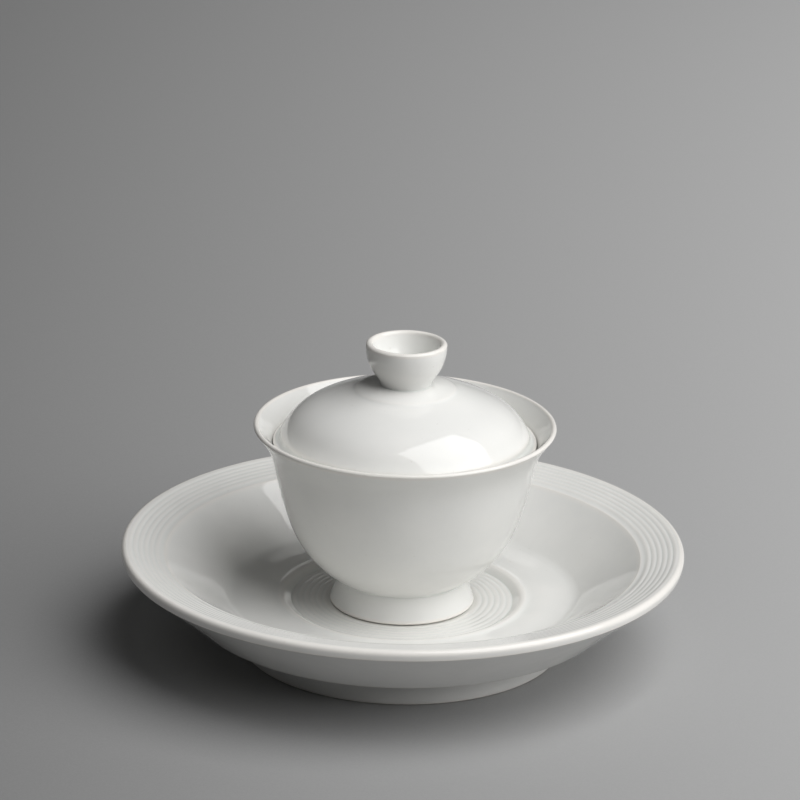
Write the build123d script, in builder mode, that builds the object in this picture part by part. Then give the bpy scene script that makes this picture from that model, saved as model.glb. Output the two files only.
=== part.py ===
"""Lidded porcelain tea bowl (gaiwan) on a wide, high-footed saucer.

Every piece is a body of revolution about Z. The saucer's foot stands on Z = 0, the bowl's foot
stands on the saucer's flat seat, and the lid's rim sits inside the bowl's flared mouth.
Profiles are drawn on the XZ plane, so a point (r, z) is a radius and a height.
"""

import os

from build123d import *

# ---- saucer -------------------------------------------------------------------------------
SAUCER_RADIUS = 89.0
SAUCER_BASE_Z = 11.0           # flat underside that the foot ring is luted to
SAUCER_BASE_RADIUS = 54.0
SAUCER_CREASE = (67.4, 12.9)   # where the conical underside turns in to the flat base
UNDERSIDE_MIDDLE = (78.1, 22.25)
LIP_EDGE = (88.8, 30.9)        # crisp lower edge of the lip
LIP_SIDE_Z = 32.4              # the lip's rounding ends here, on the widest radius
SEAT_Z = 14.75                 # flat ground that the bowl stands on
SEAT_RADIUS = 23.5
RECESS_RADIUS = 35.2           # foot of the low step round the ridged seat
STEP_TOP = (36.9, 15.95)
FLOOR_START = (39.6, 16.4)
FLOOR_END = (52.5, 16.5)
WELL_WALL_FOOT = (57.0, 17.9)  # a tight hollow ends here and the long sloping wall begins
MOUTH = (75.2, 30.8)           # crisp edge between the well and the rim band
BAND_START = (76.9, 31.25)     # the ridges begin beyond a smooth strip
BAND_END = (87.1, 33.92)       # end of the ridges, where the lip rounds over
SEAT_RIDGES = 6
BAND_RIDGES = 6
RIDGE_HEIGHT = 0.12
SAUCER_FOOT_RADIUS = 51.0      # outside of the foot ring where it meets the table
SAUCER_FOOT_TOP_RADIUS = 52.6
SAUCER_FOOT_INNER = 47.8
SAUCER_FOOT_INNER_TOP = 47.0
SAUCER_FOOT_ROUNDING = 0.8

# ---- bowl ---------------------------------------------------------------------------------
BOWL_RADIUS = 47.5             # widest point of the flared lip
BOWL_RIM_Z = 74.0
BOWL_NECK_RADIUS = 20.6        # where the foot ring is luted to the belly
BOWL_NECK_Z = 23.2
BOWL_FOOT_RADIUS = 23.2
BOWL_FOOT_WAIST = (21.6, 19.0)
BOWL_FOOT_INNER = 19.4
BOWL_FOOT_INNER_TOP = 17.6
BOWL_FOOT_ROUNDING = 0.6
BOWL_FLOOR_Z = 25.6            # lowest point inside the bowl
BELLY_MIDDLE = (30.6, 32.0)
BELLY_INSIDE = (28.2, 33.3)
FLOOR_INSIDE = (16.0, 26.6)    # the inside levels out towards the floor from here
BELLY_TOP = (36.4, 42.8)       # the belly's arc runs into the straighter wall here
WAIST = (40.1, 56.2)
FLARE = (43.4, 67.3)           # the wall turns out into the lip here
LIP_SLOPE = (1.0, 1.35)
LIP_SIDE_DROP = 0.9            # from the top of the lip down to its widest point
LIP_INNER_DROP = 0.6
LIP_CREST_INSET = 0.7
WALL = 2.0                     # thickness of the bowl's wall at mid height
WALL_RISE = 0.4                # points on the inside lie this much higher than outside
LIP_WALL = 1.7

# ---- lid ----------------------------------------------------------------------------------
LID_RADIUS = 41.4              # edge of the narrow brim
LID_RIM_Z = 67.3
BRIM_Z = 68.7                  # top of the brim
BRIM_EDGE_INSET = 0.7          # how far in from the edge its rounding starts
BRIM_WIDTH_UNDER = 3.0
DOME_RADIUS = 39.1             # the dome's wall stands upright here, above the brim
BRIM_FOLD = 1.3                # radius of the hollow between the wall and the brim
DOME_SIDE = (38.5, 71.8)       # four points up the outside of the dome
DOME_TURN = (36.2, 75.0)
DOME_SHOULDER = (31.9, 78.7)
DOME_UPPER = (24.4, 82.3)
SIDE_INSIDE = (36.9, 70.8)     # and the four points behind them
TURN_INSIDE = (34.4, 73.8)
SHOULDER_INSIDE = (30.0, 77.0)
UPPER_INSIDE = (22.0, 80.7)
RIM_INSIDE_SLOPE = (-0.4, 1.0)
LID_CEILING_Z = 84.0           # highest point inside the lid
BOSS_MIDDLE = (12.2, 86.5)
BOSS_EDGE = (15.2, 85.8)       # outer edge of the low raised disc round the knob
DOME_START = (16.6, 85.15)     # foot of the disc's small step
DOME_SLOPE = (1.0, -0.3)
KNOB_SEAT_Z = 87.1             # flat that the knob is luted to
KNOB_SEAT_RADIUS = 8.4
KNOB_FOOT_RADIUS = 8.1
KNOB_FOOT_SLOPE = (0.15, 1.0)
KNOB_FLARE = (9.2, 89.6)       # three points up the outside of the knob
KNOB_MIDDLE = (11.4, 93.2)
KNOB_UPPER = (12.6, 97.8)
KNOB_SIDE_SLOPE = (0.02, 1.0)
KNOB_RADIUS = 12.7
KNOB_TOP_Z = 100.7
KNOB_SIDE_DROP = 0.7           # from the top of the knob's rim down to its widest point
KNOB_INNER_DROP = 0.5
KNOB_CREST_INSET = 0.9
KNOB_LIP = 2.0                 # width of the knob's rounded rim
KNOB_WELL_SLOPE = (-0.4, -1.0)
KNOB_WELL_UPPER = (10.0, 97.2)
KNOB_WELL_LOWER = (8.2, 92.7)
KNOB_WELL_Z = 89.8             # bottom of the hollow in the knob

INWARD = (-1.0, 0.0)           # directions on the profile plane
DOWN = (0.0, -1.0)


def ridge_run(start, end, count):
    """Adds a run of rounded ridges, one small arc each, along the line from start to end."""
    start = Vector(*start)
    pitch = (Vector(*end) - start) / count
    outward = Vector(-pitch.Y, pitch.X).normalized() * RIDGE_HEIGHT
    for index in range(count):
        near = start + pitch * index
        far = near + pitch
        ThreePointArc(near, (near + far) / 2 + outward, far)


os.makedirs("parts", exist_ok=True)

# ---- saucer dish: ridged seat, smooth well, ridged rim band and rounded lip -----------------
with BuildPart() as saucer_dish:
    with BuildSketch(Plane.XZ):
        with BuildLine():
            Line((0, SAUCER_BASE_Z), (0, SEAT_Z))
            Line((0, SEAT_Z), (SEAT_RADIUS, SEAT_Z))
            ridge_run((SEAT_RADIUS, SEAT_Z), (RECESS_RADIUS, SEAT_Z), SEAT_RIDGES)
            step = Line((RECESS_RADIUS, SEAT_Z), STEP_TOP)
            TangentArc(STEP_TOP, FLOOR_START, tangent=step % 1)
            floor = Line(FLOOR_START, FLOOR_END)
            hollow = TangentArc(FLOOR_END, WELL_WALL_FOOT, tangent=floor % 1)
            TangentArc(WELL_WALL_FOOT, MOUTH, tangent=hollow % 1)
            Line(MOUTH, BAND_START)
            ridge_run(BAND_START, BAND_END, BAND_RIDGES)
            band_slope = (BAND_END[0] - MOUTH[0], BAND_END[1] - MOUTH[1])
            TangentArc(BAND_END, (SAUCER_RADIUS, LIP_SIDE_Z), tangent=band_slope)
            Line((SAUCER_RADIUS, LIP_SIDE_Z), LIP_EDGE)
            ThreePointArc(LIP_EDGE, UNDERSIDE_MIDDLE, SAUCER_CREASE)
            Line(SAUCER_CREASE, (SAUCER_BASE_RADIUS, SAUCER_BASE_Z))
            Line((SAUCER_BASE_RADIUS, SAUCER_BASE_Z), (0, SAUCER_BASE_Z))
        make_face()
    revolve(axis=Axis.Z)
saucer_dish.part.label = "saucer_dish"
export_step(saucer_dish.part, "parts/saucer_dish.step")

# ---- saucer foot ring: tall, slightly flared, luted under the dish ---------------------------
with BuildPart() as saucer_foot_ring:
    with BuildSketch(Plane.XZ):
        with BuildLine():
            Polyline(
                (SAUCER_FOOT_INNER, 0),
                (SAUCER_FOOT_RADIUS, 0),
                (SAUCER_FOOT_TOP_RADIUS, SAUCER_BASE_Z),
                (SAUCER_FOOT_INNER_TOP, SAUCER_BASE_Z),
                close=True,
            )
        make_face()
    revolve(axis=Axis.Z)
    fillet(saucer_foot_ring.edges().group_by(Axis.Z)[0], SAUCER_FOOT_ROUNDING)
saucer_foot_ring.part.label = "saucer_foot_ring"
export_step(saucer_foot_ring.part, "parts/saucer_foot_ring.step")

# ---- bowl body: thin wall, round belly and flared lip ----------------------------------------
with BuildPart() as bowl_body:
    with BuildSketch(Plane.XZ):
        with BuildLine():
            base = Line((0, BOWL_NECK_Z), (BOWL_NECK_RADIUS, BOWL_NECK_Z))
            belly = ThreePointArc(base @ 1, BELLY_MIDDLE, BELLY_TOP)
            wall = Spline(
                BELLY_TOP,
                WAIST,
                FLARE,
                (BOWL_RADIUS, BOWL_RIM_Z - LIP_SIDE_DROP),
                tangents=[belly % 1, LIP_SLOPE],
            )
            lip_inner = (BOWL_RADIUS - LIP_WALL, BOWL_RIM_Z - LIP_INNER_DROP)
            ThreePointArc(wall @ 1, (BOWL_RADIUS - LIP_CREST_INSET, BOWL_RIM_Z), lip_inner)
            Spline(
                lip_inner,
                (FLARE[0] - LIP_WALL, FLARE[1] + WALL_RISE),
                (WAIST[0] - WALL, WAIST[1] + WALL_RISE),
                (BELLY_TOP[0] - WALL, BELLY_TOP[1] + WALL_RISE),
                BELLY_INSIDE,
                FLOOR_INSIDE,
                (0, BOWL_FLOOR_Z),
                tangents=[(-LIP_SLOPE[0], -LIP_SLOPE[1]), INWARD],
            )
            Line((0, BOWL_FLOOR_Z), (0, BOWL_NECK_Z))
        make_face()
    revolve(axis=Axis.Z)
bowl_body.part.label = "bowl_body"
export_step(bowl_body.part, "parts/bowl_body.step")

# ---- bowl foot ring: flared collar luted under the belly --------------------------------------
with BuildPart() as bowl_foot_ring:
    with BuildSketch(Plane.XZ):
        with BuildLine():
            Line((BOWL_FOOT_INNER, SEAT_Z), (BOWL_FOOT_RADIUS, SEAT_Z))
            ThreePointArc(
                (BOWL_FOOT_RADIUS, SEAT_Z),
                BOWL_FOOT_WAIST,
                (BOWL_NECK_RADIUS, BOWL_NECK_Z),
            )
            Line((BOWL_NECK_RADIUS, BOWL_NECK_Z), (BOWL_FOOT_INNER_TOP, BOWL_NECK_Z))
            Line((BOWL_FOOT_INNER_TOP, BOWL_NECK_Z), (BOWL_FOOT_INNER, SEAT_Z))
        make_face()
    revolve(axis=Axis.Z)
    fillet(bowl_foot_ring.edges().group_by(Axis.Z)[0], BOWL_FOOT_ROUNDING)
bowl_foot_ring.part.label = "bowl_foot_ring"
export_step(bowl_foot_ring.part, "parts/bowl_foot_ring.step")

# ---- lid dome: shell with an upright edge, a narrow brim and a low boss under the knob ---------
with BuildPart() as lid_dome:
    with BuildSketch(Plane.XZ):
        with BuildLine():
            seat = Line((0, KNOB_SEAT_Z), (KNOB_SEAT_RADIUS, KNOB_SEAT_Z))
            boss = ThreePointArc(seat @ 1, BOSS_MIDDLE, BOSS_EDGE)
            Spline(BOSS_EDGE, DOME_START, tangents=[boss % 1, DOME_SLOPE])
            skirt = Spline(
                DOME_START,
                DOME_UPPER,
                DOME_SHOULDER,
                DOME_TURN,
                DOME_SIDE,
                (DOME_RADIUS, BRIM_Z + BRIM_FOLD),
                tangents=[DOME_SLOPE, DOWN],
            )
            fold = TangentArc(skirt @ 1, (DOME_RADIUS + BRIM_FOLD, BRIM_Z), tangent=skirt % 1)
            brim = Line(fold @ 1, (LID_RADIUS - BRIM_EDGE_INSET, BRIM_Z))
            rim_edge = (LID_RADIUS - BRIM_EDGE_INSET, LID_RIM_Z)
            ThreePointArc(brim @ 1, (LID_RADIUS, (BRIM_Z + LID_RIM_Z) / 2), rim_edge)
            rim_inner = (LID_RADIUS - BRIM_WIDTH_UNDER, LID_RIM_Z)
            Line(rim_edge, rim_inner)
            Spline(
                rim_inner,
                SIDE_INSIDE,
                TURN_INSIDE,
                SHOULDER_INSIDE,
                UPPER_INSIDE,
                (0, LID_CEILING_Z),
                tangents=[RIM_INSIDE_SLOPE, INWARD],
            )
            Line((0, LID_CEILING_Z), (0, KNOB_SEAT_Z))
        make_face()
    revolve(axis=Axis.Z)
lid_dome.part.label = "lid_dome"
export_step(lid_dome.part, "parts/lid_dome.step")

# ---- lid knob: hollow flaring cup with a thick rounded rim -------------------------------------
with BuildPart() as lid_knob:
    with BuildSketch(Plane.XZ):
        with BuildLine():
            Line((0, KNOB_SEAT_Z), (KNOB_FOOT_RADIUS, KNOB_SEAT_Z))
            outside = Spline(
                (KNOB_FOOT_RADIUS, KNOB_SEAT_Z),
                KNOB_FLARE,
                KNOB_MIDDLE,
                KNOB_UPPER,
                (KNOB_RADIUS, KNOB_TOP_Z - KNOB_SIDE_DROP),
                tangents=[KNOB_FOOT_SLOPE, KNOB_SIDE_SLOPE],
            )
            rim_inside = (KNOB_RADIUS - KNOB_LIP, KNOB_TOP_Z - KNOB_INNER_DROP)
            ThreePointArc(outside @ 1, (KNOB_RADIUS - KNOB_CREST_INSET, KNOB_TOP_Z), rim_inside)
            Spline(
                rim_inside,
                KNOB_WELL_UPPER,
                KNOB_WELL_LOWER,
                (0, KNOB_WELL_Z),
                tangents=[KNOB_WELL_SLOPE, INWARD],
            )
            Line((0, KNOB_WELL_Z), (0, KNOB_SEAT_Z))
        make_face()
    revolve(axis=Axis.Z)
lid_knob.part.label = "lid_knob"
export_step(lid_knob.part, "parts/lid_knob.step")
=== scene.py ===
"""Looks of a glazed porcelain gaiwan: a lidded bowl on a ridged saucer, in soft studio light.

Each of the three loose pieces is one lathe-turned mesh. Its section is read from the CAD nodes
it stands for, drawn as one smooth outline in (radius, height) millimetres, softened as molten
glaze softens an edge, and spun about Z. Sharp edges carry a painted warm edge light, grooves a
pooled-glaze tint darkened with painted shade, and the feet are wiped bare where they stand:
those three facts are stored as vertex attributes.
"""

import math

import bpy
import numpy as np
from mathutils import Matrix, Vector


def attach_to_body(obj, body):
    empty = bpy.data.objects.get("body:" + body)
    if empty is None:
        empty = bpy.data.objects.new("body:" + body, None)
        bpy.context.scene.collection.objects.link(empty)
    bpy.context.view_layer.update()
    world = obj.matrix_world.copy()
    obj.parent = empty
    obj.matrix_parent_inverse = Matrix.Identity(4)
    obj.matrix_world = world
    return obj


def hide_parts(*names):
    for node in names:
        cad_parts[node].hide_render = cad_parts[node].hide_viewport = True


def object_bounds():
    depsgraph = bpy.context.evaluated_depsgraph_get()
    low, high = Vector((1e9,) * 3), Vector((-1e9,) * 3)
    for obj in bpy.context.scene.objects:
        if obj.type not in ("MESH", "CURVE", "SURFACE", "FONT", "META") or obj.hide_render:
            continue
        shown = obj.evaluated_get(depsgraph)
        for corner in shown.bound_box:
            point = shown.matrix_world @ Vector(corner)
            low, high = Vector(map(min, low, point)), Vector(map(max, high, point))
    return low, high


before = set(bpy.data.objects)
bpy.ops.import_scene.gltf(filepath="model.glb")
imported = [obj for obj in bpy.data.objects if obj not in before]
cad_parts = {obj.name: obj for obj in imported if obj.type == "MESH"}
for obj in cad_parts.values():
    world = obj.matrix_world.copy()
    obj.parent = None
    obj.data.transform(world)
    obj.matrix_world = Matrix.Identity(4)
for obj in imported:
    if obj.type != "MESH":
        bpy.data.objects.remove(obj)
cad_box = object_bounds()

MM = 0.001

SEGMENTS = 256                 # flats round a turned piece
FINE_STEP = 0.04               # mm, spacing of the working outline
CORNER = math.radians(16)      # a sharper turn than this in a section is a real corner
EDGE_SOFTENING = 0.14          # mm, how far the glaze rounds a corner
BLUR_WIDTH = 3                 # reaches on each side that a blur takes in
EDGE_GROOVE_REACH = 0.55             # mm, how far round an edge or groove the painted edge light and the groove tint with painted shade reach
EDGE_GROOVE_DEPTH = 0.10             # mm, bulge at which the painted edge light, and hollow at which the groove tint with painted shade, is complete
KEPT_TURN = math.radians(3.5)  # most turn between neighbouring points of the final outline
KEPT_STEP = 1.6                # mm, most distance between them
BARE_BAND = 0.35               # mm, height of the unglazed band under a foot


# ---- reading a section from the CAD ----------------------------------------------------------

def cad_section(node):
    """The node's outline in the XZ half plane: a list of (radius, height) in mm, in order."""
    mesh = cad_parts[node].data
    spots = {}
    for vertex in mesh.vertices:
        x, y, z = vertex.co / MM
        if abs(y) < 1e-3 and x > -1e-3:
            spots[vertex.index] = (round(x, 3), round(z, 3))
    links = {spot: set() for spot in spots.values()}

    def link(a, b):
        links[a].add(b)
        links[b].add(a)

    for edge in mesh.edges:
        a, b = (spots.get(i) for i in edge.vertices)
        if a and b and a != b:
            link(a, b)
    ends = sorted(spot for spot in links if len(links[spot]) == 1 and spot[0] > 0)
    flats = sorted((b[0] - a[0], a, b) for a in ends for b in ends if b > a and a[1] == b[1])
    for _, a, b in flats:
        if a in ends and b in ends:
            link(a, b)
            ends.remove(a)
            ends.remove(b)
    for radius, height in ends:
        links[0.0, height] = set()
        link((radius, height), (0.0, height))
    return walk(links)


def walk(links):
    """The spots in the order in which they are linked, from the axis where the outline meets it."""
    on_axis = sorted(spot for spot in links if spot[0] == 0)
    path = [on_axis[0] if on_axis else min(links)]
    while True:
        onward = [spot for spot in links[path[-1]] if spot not in path[-2:]]
        if not onward or onward[0] == path[0]:
            return path
        path.append(onward[0])


def attach(section, part):
    """The section with part joined on where a flat side of part lies against a flat side of it."""
    for i, (a, b) in enumerate(zip(section, section[1:])):
        for j, c in enumerate(part):
            d = part[(j + 1) % len(part)]
            level = a[1] == b[1] == c[1] == d[1]
            if level and min(a, b) <= min(c, d) and max(c, d) <= max(a, b):
                loop = part[j + 1:] + part[:j + 1]
                if abs(loop[0][0] - a[0]) > abs(loop[-1][0] - a[0]):
                    loop.reverse()
                return section[:i + 1] + loop + section[i + 1:]
    raise ValueError("the two sections do not meet")


def from_axis_to_axis(section):
    """The section up to where it first comes back to the axis, without repeated points."""
    kept = [section[0]]
    for spot in section[1:]:
        if spot != kept[-1]:
            kept.append(spot)
        if spot[0] == 0:
            break
    return np.array(kept)


# ---- drawing it smoothly ---------------------------------------------------------------------

def turns(points):
    """How sharply the outline turns at each inner point, in radians."""
    steps = np.diff(points, axis=0)
    angles = np.arctan2(steps[:, 1], steps[:, 0])
    return np.abs((np.diff(angles) + math.pi) % (2 * math.pi) - math.pi)


def spline(points):
    """A smooth curve through the points, sampled every FINE_STEP."""
    steps = np.linalg.norm(np.diff(points, axis=0), axis=1)
    count = len(points)
    slopes = np.diff(points, axis=0) / steps[:, None]
    system, right = np.eye(count), np.zeros((count, 2))
    for i in range(1, count - 1):
        system[i, i - 1:i + 2] = steps[i - 1], 2 * (steps[i - 1] + steps[i]), steps[i]
        right[i] = 6 * (slopes[i] - slopes[i - 1])
    bends = np.linalg.solve(system, right)
    drawn = [points[:1]]
    for i, step in enumerate(steps):
        t = np.linspace(0, step, max(2, int(step / FINE_STEP)) + 1)[1:, None]
        rest = step - t
        drawn.append(
            (bends[i] * rest**3 + bends[i + 1] * t**3) / (6 * step)
            + (points[i] / step - bends[i] * step / 6) * rest
            + (points[i + 1] / step - bends[i + 1] * step / 6) * t
        )
    return np.concatenate(drawn)


def smooth_outline(points):
    """The section redrawn at FINE_STEP: smooth along each stretch, sharp at each real corner."""
    sharp = [i + 1 for i, turn in enumerate(turns(points)) if turn > CORNER]
    corners = [0] + sharp + [len(points) - 1]
    drawn = [spline(points[a:b + 1]) for a, b in zip(corners, corners[1:])]
    outline = np.concatenate([drawn[0]] + [run[1:] for run in drawn[1:]])
    along = np.concatenate([[0], np.cumsum(np.linalg.norm(np.diff(outline, axis=0), axis=1))])
    even = np.linspace(0, along[-1], int(along[-1] / FINE_STEP))
    return np.stack([np.interp(even, along, outline[:, k]) for k in (0, 1)], 1)


def softened(outline, reach):
    """The outline blurred over reach millimetres, going on as its mirror image past the axis."""
    half = int(BLUR_WIDTH * reach / FINE_STEP)
    mirror = np.array([-1, 1])
    before = outline[half:0:-1] * mirror
    after = outline[-2:-half - 2:-1] * mirror
    padded = np.concatenate([before, outline, after])
    weights = np.exp(-0.5 * (np.arange(-half, half + 1) * FINE_STEP / reach) ** 2)
    weights /= weights.sum()
    return np.stack([np.convolve(padded[:, k], weights, "valid") for k in (0, 1)], 1)


def kept_points(outline):
    """The points that the outline needs: more where it turns, fewer where it runs straight."""
    steps = np.linalg.norm(np.diff(outline, axis=0), axis=1)
    bends = np.concatenate([[0], turns(outline)])
    kept, turned, gone = [0], 0.0, 0.0
    for i in range(1, len(outline) - 1):
        turned += bends[i]
        gone += steps[i - 1]
        if turned > KEPT_TURN or gone > KEPT_STEP:
            kept.append(i)
            turned = gone = 0.0
    return kept + [len(outline) - 1]


# ---- spinning it -----------------------------------------------------------------------------

def turned_piece(name, body, slot, *nodes):
    """One loose piece: the sections of its CAD nodes joined, glazed, spun about Z and attached."""
    section = cad_section(nodes[0])
    for node in nodes[1:]:
        section = attach(section, cad_section(node))
    crisp = smooth_outline(from_axis_to_axis(section))
    outline = softened(crisp, EDGE_SOFTENING)
    outline[0, 0] = outline[-1, 0] = 0
    forward = np.gradient(outline, axis=0)
    forward /= np.linalg.norm(forward, axis=1)[:, None]
    outward = np.stack([forward[:, 1], -forward[:, 0]], 1)
    inside_out = np.sum(outline[:, 0] * forward[:, 1]) < 0
    if inside_out:
        outward = -outward
    bulge = np.sum((crisp - softened(crisp, EDGE_GROOVE_REACH)) * outward, axis=1)
    height = outline[:, 1] - outline[:, 1].min()
    facts = {
        # edge_light: where painted warm light lies on sharp edges
        "edge_light": np.clip(bulge / EDGE_GROOVE_DEPTH, 0, 1),
        # pool_and_shade: grooves and creases, a pooled-glaze tint darkened as painted shade
        "pool_and_shade": np.clip(-bulge / EDGE_GROOVE_DEPTH, 0, 1),
        "bare": (height < BARE_BAND).astype(float),
    }
    kept = kept_points(outline)
    if inside_out:
        kept.reverse()
    piece = lathe(name, outline[kept], {fact: values[kept] for fact, values in facts.items()})
    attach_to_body(piece, body)
    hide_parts(*nodes)
    return piece


def lathe(name, outline, facts):
    """A closed mesh: the outline, which starts and ends on the axis, spun about Z."""
    angles = np.arange(SEGMENTS) * 2 * math.pi / SEGMENTS
    rings = outline[1:-1]
    spun = np.stack([
        np.outer(rings[:, 0], np.cos(angles)),
        np.outer(rings[:, 0], np.sin(angles)),
        np.outer(rings[:, 1], np.ones(SEGMENTS)),
    ], axis=2).reshape(-1, 3)
    poles = [(0, 0, outline[0, 1]), (0, 0, outline[-1, 1])]
    verts = np.concatenate([spun, poles]) * MM
    first_pole, last_pole = len(spun), len(spun) + 1
    faces = []
    for k in range(SEGMENTS):
        after = (k + 1) % SEGMENTS
        faces.append((first_pole, after, k))
        for ring in range(len(rings) - 1):
            low, high = ring * SEGMENTS, (ring + 1) * SEGMENTS
            faces.append((low + k, low + after, high + after, high + k))
        top = (len(rings) - 1) * SEGMENTS
        faces.append((top + k, top + after, last_pole))
    mesh = bpy.data.meshes.new(name)
    mesh.from_pydata(verts.tolist(), [], faces)
    mesh.polygons.foreach_set("use_smooth", [True] * len(faces))
    for fact, values in facts.items():
        spread = np.concatenate([np.repeat(values[1:-1], SEGMENTS), values[[0, -1]]])
        mesh.attributes.new(fact, "FLOAT", "POINT").data.foreach_set("value", spread)
    mesh.update()
    piece = bpy.data.objects.new(name, mesh)
    bpy.context.scene.collection.objects.link(piece)
    return piece


# ---- materials -------------------------------------------------------------------------------

class Nodes:
    """A few short words for building a material's node tree."""

    def __init__(self, name):
        self.material = bpy.data.materials.new(name)
        self.material.use_nodes = True
        self.tree = self.material.node_tree
        self.shader = self.tree.nodes["Principled BSDF"]
        self.place = self.add("ShaderNodeTexCoord").outputs["Object"]

    def add(self, kind, **inputs):
        node = self.tree.nodes.new(kind)
        for socket, value in inputs.items():
            self.set(node, socket.replace("_", " "), value)
        return node

    def set(self, node, socket, value):
        socket = node.inputs[socket]
        if isinstance(value, bpy.types.NodeSocket):
            self.tree.links.new(value, socket)
        else:
            socket.default_value = value

    def noise(self, size, detail=2.0, seed=0.0):
        """Soft noise, 0 to 1, with blotches of that size in metres."""
        node = self.tree.nodes.new("ShaderNodeTexNoise")
        node.noise_dimensions = "4D"
        self.set(node, "Vector", self.place)
        self.set(node, "W", seed)
        self.set(node, "Scale", 1 / size)
        self.set(node, "Detail", detail)
        return node.outputs["Fac"]

    def fact(self, name):
        node = self.tree.nodes.new("ShaderNodeAttribute")
        node.attribute_name = name
        return node.outputs["Fac"]

    def rescale(self, value, low, high, start, end):
        """Low to high becomes start to end."""
        return self.add("ShaderNodeMapRange", Value=value, From_Min=low, From_Max=high,
                        To_Min=start, To_Max=end).outputs["Result"]

    def total(self, one, two):
        node = self.tree.nodes.new("ShaderNodeMath")
        self.tree.links.new(one, node.inputs[0])
        self.tree.links.new(two, node.inputs[1])
        return node.outputs["Value"]

    def blend(self, amount, one, two):
        """Colour one where amount is 0, colour two where it is 1."""
        node = self.tree.nodes.new("ShaderNodeMix")
        node.data_type = "RGBA"
        self.set(node, "Factor", amount)
        for socket, value in ((node.inputs[6], one), (node.inputs[7], two)):
            if isinstance(value, bpy.types.NodeSocket):
                self.tree.links.new(value, socket)
            else:
                socket.default_value = (*value, 1)
        return node.outputs[2]

    def bump(self, height, depth, under=None):
        """Bumps of that depth in metres, on top of an earlier bump."""
        node = self.add("ShaderNodeBump", Height=height, Distance=depth, Strength=1.0)
        if under is not None:
            self.set(node, "Normal", under)
        return node.outputs["Normal"]


GLAZE_COOL = (0.800, 0.800, 0.778)     # the glaze clouds between these two whites
GLAZE_WARM = (0.835, 0.832, 0.808)
GROOVE_POOL_AND_PAINTED_SHADE = (0.770, 0.782, 0.756)   # in grooves: pooled-glaze tint, made darker as painted shade
EDGE_PAINTED_LIGHT = (0.850, 0.825, 0.785)     # painted warm light on sharp edges
SPECK = (0.42, 0.36, 0.30)
SPECK_STRENGTH = 0.12
BISCUIT_DARK = (0.70, 0.66, 0.60)      # the unglazed band under a foot
BISCUIT_PALE = (0.78, 0.75, 0.70)
CLOUD_SIZE = 0.018                     # m, and so are the other sizes and depths here
SPECK_SIZE = 0.0009
GRAIN_SIZE = 0.00035
GLOSS_PATCH = 0.012
GLAZE_ROUGHNESS = (0.02, 0.05)
BISCUIT_ROUGHNESS = 0.55               # over the glaze's
GLAZE_IOR = 1.42
SAG_SIZE, SAG_DEPTH = 0.009, 0.00006
SKIN_SIZE, SKIN_DEPTH = 0.0016, 0.000006


def porcelain(name, seed):
    """White porcelain under a clear glaze, with painted warm light on sharp edges and painted shade
    over the glaze pooled in grooves, bare and matt where the foot was wiped.
    """
    n = Nodes(name)
    cloud = n.rescale(n.noise(CLOUD_SIZE, 3.0, seed), 0.35, 0.65, 0, 1)
    body = n.blend(cloud, GLAZE_COOL, GLAZE_WARM)
    # grooves and creases: pooled-glaze tint, darker there as painted shade
    pooled_and_shaded = n.blend(n.fact("pool_and_shade"), body, GROOVE_POOL_AND_PAINTED_SHADE)
    # painted warm light on sharp edges, laid over the glaze colour
    glazed = n.blend(n.fact("edge_light"), pooled_and_shaded, EDGE_PAINTED_LIGHT)
    speck = n.rescale(n.noise(SPECK_SIZE, 0.0, seed + 3), 0.82, 0.86, 0, SPECK_STRENGTH)
    specked = n.blend(speck, glazed, SPECK)
    bare = n.fact("bare")
    biscuit = n.blend(n.noise(GRAIN_SIZE, 2.0, seed + 5), BISCUIT_DARK, BISCUIT_PALE)
    n.set(n.shader, "Base Color", n.blend(bare, specked, biscuit))

    gloss = n.rescale(n.noise(GLOSS_PATCH, 4.0, seed + 7), 0.3, 0.7, *GLAZE_ROUGHNESS)
    dull = n.rescale(bare, 0, 1, 0, BISCUIT_ROUGHNESS)
    n.set(n.shader, "Roughness", n.total(gloss, dull))

    sag = n.bump(n.noise(SAG_SIZE, 1.0, seed + 11), SAG_DEPTH)
    skin = n.bump(n.noise(SKIN_SIZE, 2.0, seed + 13), SKIN_DEPTH, sag)
    n.set(n.shader, "Normal", skin)
    n.set(n.shader, "IOR", GLAZE_IOR)
    return n.material


saucer = turned_piece("saucer_glazed", "saucer", "saucer_glaze", "saucer_dish", "saucer_foot_ring")
bowl = turned_piece("bowl_glazed", "bowl", "bowl_glaze", "bowl_body", "bowl_foot_ring")
lid = turned_piece("lid_glazed", "lid", "lid_glaze", "lid_dome", "lid_knob")
saucer.data.materials.append(porcelain("saucer_porcelain", 2.0))
bowl.data.materials.append(porcelain("bowl_porcelain", 23.0))
lid.data.materials.append(porcelain("lid_porcelain", 47.0))


# ---- floor, light and camera -----------------------------------------------------------------

CAMERA_PITCH = math.radians(19.48)
CAMERA_ROLL = math.radians(1.05)
CAMERA_DISTANCE = 1.25035
CAMERA_LENS = 180              # mm, on a 36 mm wide sensor
AIM_LEFT = 0.001745            # m, how far left of the axis the camera looks
AIM_HEIGHT = 0.8095            # of the object's height
FLOOR_SIZE = 6.0
FLOOR_TURN = math.radians(13.7)  # the painted light falloff runs along the floor's own X axis
PAINTED_FALLOFF_SPAN = (-0.2, 0.4)       # m, the part of that axis over which the painted falloff goes from painted shade to painted light
# the floor's colour at the shaded and at the lit end of the painted light falloff
FLOOR_PAINTED_SHADE = (0.200, 0.200, 0.200)
FLOOR_PAINTED_LIGHT = (0.633, 0.633, 0.633)
FIBRE_SIZE = 0.0006            # m, the paper's mottling
FIBRE_TONE = 0.02              # of the way from dark to light
TOOTH_SIZE = 0.0008            # m, the paper's fine bumps
TOOTH_DEPTH = 0.00001
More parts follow.
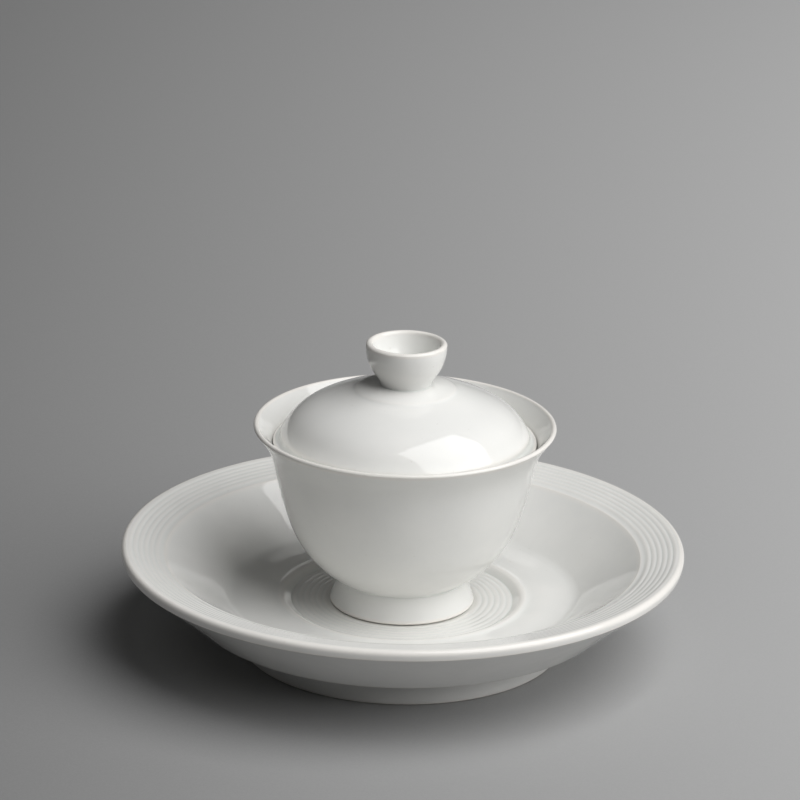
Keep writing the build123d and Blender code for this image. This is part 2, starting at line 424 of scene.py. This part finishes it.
# The softbox stands on the side KEY_TOWARDS and faces away from KEY_BACK, its width along KEY_SIDE.
KEY_TOWARDS = Vector((0.552, -0.329, 0.766)).normalized()
KEY_BACK = Vector((0.645, -0.190, 0.740)).normalized()
KEY_SIDE = Vector((0.496, 0.841, -0.216))
KEY_DISTANCE = 1.83
KEY_WIDTH = 1.96
KEY_LENGTH = 2.52
KEY_POWER = 55.0
FILL_TOWARDS = Vector((-0.60, -0.30, 0.74)).normalized()
FILL_DISTANCE = 1.7
FILL_SIZE = 1.7
FILL_SIDE = Vector((0, 1, 0))
FILL_POWER = 2.2
ROOM_STRENGTH = 0.018


def floor():
    bpy.ops.mesh.primitive_plane_add(size=FLOOR_SIZE, location=(0, 0, cad_box[0][2]))
    plane = bpy.context.object
    plane.name = "studio_floor"
    plane.rotation_euler.z = FLOOR_TURN
    n = Nodes("paper_with_painted_falloff")
    across = n.add("ShaderNodeSeparateXYZ", Vector=n.place).outputs["X"]
    # painted light falloff: the floor's colour goes from painted shade to painted light along its X
    # axis
    painted_falloff = n.rescale(across, *PAINTED_FALLOFF_SPAN, 0, 1)
    fibre = n.rescale(n.noise(FIBRE_SIZE, 3.0, 5.0), 0.3, 0.7, -FIBRE_TONE, FIBRE_TONE)
    n.set(n.shader, "Base Color", n.blend(n.total(painted_falloff, fibre), FLOOR_PAINTED_SHADE, FLOOR_PAINTED_LIGHT))
    n.set(n.shader, "Roughness", 0.8)
    n.set(n.shader, "Specular IOR Level", 0.2)
    n.set(n.shader, "Normal", n.bump(n.noise(TOOTH_SIZE, 2.0, 9.0), TOOTH_DEPTH))
    plane.data.materials.append(n.material)


def softbox(name, towards, distance, size, power, turn):
    """A rectangular lamp on that side of the object, facing the way the turn gives."""
    lamp = bpy.data.lights.new(name, "AREA")
    lamp.shape = "RECTANGLE"
    lamp.size, lamp.size_y = size
    lamp.energy = power
    holder = bpy.data.objects.new(name, lamp)
    middle = Vector((0, 0, cad_box[1][2] / 2))
    holder.matrix_world = Matrix.Translation(middle + towards * distance) @ turn
    bpy.context.scene.collection.objects.link(holder)


def turned(back, side):
    """The rotation whose Z axis is back and whose X axis lies as near to side as it can."""
    side = (side - side.dot(back) * back).normalized()
    return Matrix((side, back.cross(side), back)).transposed().to_4x4()


def room_light():
    world = bpy.data.worlds.new("dim_studio")
    world.use_nodes = True
    background = world.node_tree.nodes["Background"]
    background.inputs["Color"].default_value = (1.0, 1.0, 1.0, 1)
    background.inputs["Strength"].default_value = ROOM_STRENGTH
    bpy.context.scene.world = world


def camera():
    lens = bpy.data.cameras.new("camera")
    lens.lens = CAMERA_LENS
    holder = bpy.data.objects.new("camera", lens)
    aim = Vector((-AIM_LEFT, 0, cad_box[1][2] * AIM_HEIGHT))
    back = Vector((0, -math.cos(CAMERA_PITCH), math.sin(CAMERA_PITCH)))
    right = Vector((1, 0, 0))
    roll = Matrix.Rotation(CAMERA_ROLL, 4, "Z")
    place = Matrix.Translation(aim + back * CAMERA_DISTANCE)
    holder.matrix_world = place @ turned(back, right) @ roll
    bpy.context.scene.collection.objects.link(holder)
    bpy.context.scene.camera = holder


floor()
softbox("key", KEY_TOWARDS, KEY_DISTANCE, (KEY_WIDTH, KEY_LENGTH), KEY_POWER,
        turned(KEY_BACK, KEY_SIDE))
softbox("fill", FILL_TOWARDS, FILL_DISTANCE, (FILL_SIZE, FILL_SIZE), FILL_POWER,
        turned(FILL_TOWARDS, FILL_SIDE))
room_light()
camera()
bpy.context.scene.view_settings.view_transform = "Standard"
